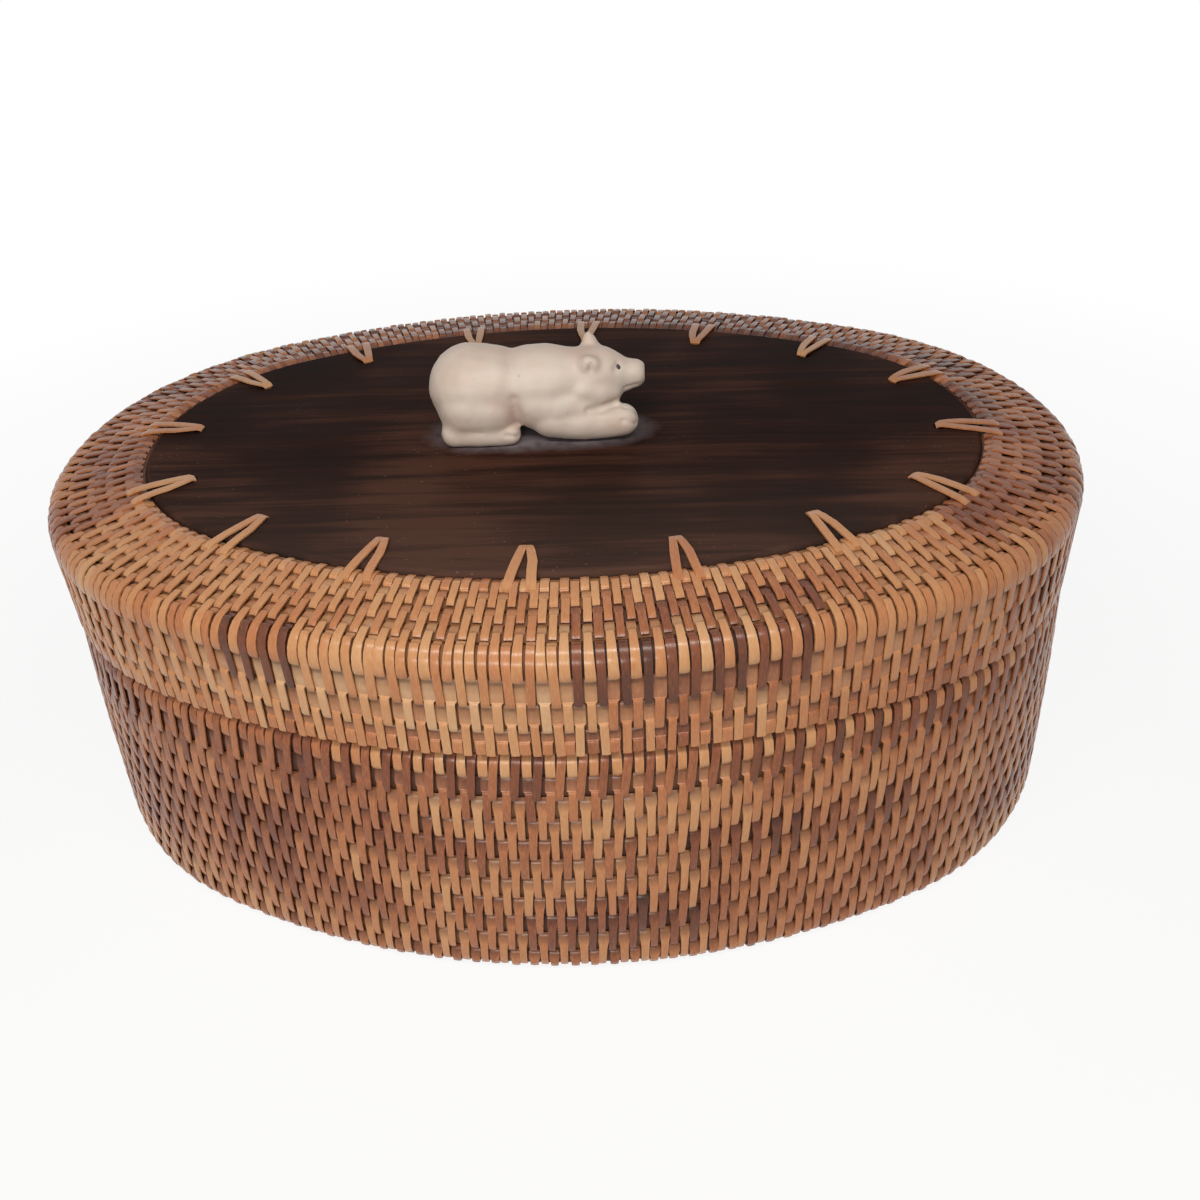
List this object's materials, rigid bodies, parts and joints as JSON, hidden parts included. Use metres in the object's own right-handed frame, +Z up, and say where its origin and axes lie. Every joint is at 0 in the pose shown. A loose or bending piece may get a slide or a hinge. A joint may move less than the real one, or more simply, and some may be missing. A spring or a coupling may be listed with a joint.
{
  "type": "lidded coiled basket",
  "caption": "Oval coiled-cane basket with a lift-off lid: a dark wooden lid panel laced in with cane loops carries a small carved bear that serves as the handle.",
  "frame": {"origin": "centre of the base's footprint, on the surface that the basket stands on", "axes": "+X along the length, the way the bear faces; +Y to the back; +Z up, the way the lid lifts"},
  "size_m": [0.2448, 0.1728, 0.1121],
  "materials": {
    "cane": "satin",
    "lacing_cane": "satin",
    "panel_wood": "lacquered",
    "glue": "smeared",
    "bear": "polished"
  },
  "bodies": {
    "base": {"base_floor_start": "cane", "base_floor_course_1": "cane", "base_floor_course_2": "cane", "base_floor_course_3": "cane", "base_floor_course_4": "cane", "base_floor_course_5": "cane", "base_floor_course_6": "cane", "base_floor_course_7": "cane", "base_floor_course_8": "cane", "base_floor_course_9": "cane", "base_floor_course_10": "cane", "base_floor_course_11": "cane", "base_wall_course_1": "cane", "base_wall_course_2": "cane", "base_wall_course_3": "cane", "base_wall_course_4": "cane", "base_wall_course_5": "cane", "base_wall_course_6": "cane", "base_wall_course_7": "cane", "base_wall_course_8": "cane", "base_wall_course_9": "cane", "base_wall_course_10": "cane", "base_wall_course_11": "cane", "base_collar_course_1": "cane", "base_collar_course_2": "cane", "base_collar_course_3": "cane"},
    "lid": {"lid_side_course_1": "cane", "lid_side_course_2": "cane", "lid_side_course_3": "cane", "lid_shoulder_course": "cane", "lid_top_course_1": "cane", "lid_top_course_2": "cane", "lid_top_course_3": "cane", "lid_top_course_4": "cane", "lid_panel": "panel_wood", "lid_lacing": "lacing_cane", "bear_glue": "glue", "bear_figure": "bear"}
  },
  "joints": [
    {"name": "lid_lift", "type": "slide", "parent": "base", "child": "lid", "axis": [0, 0, 1], "range_m": [0, 0.12]}
  ]
}
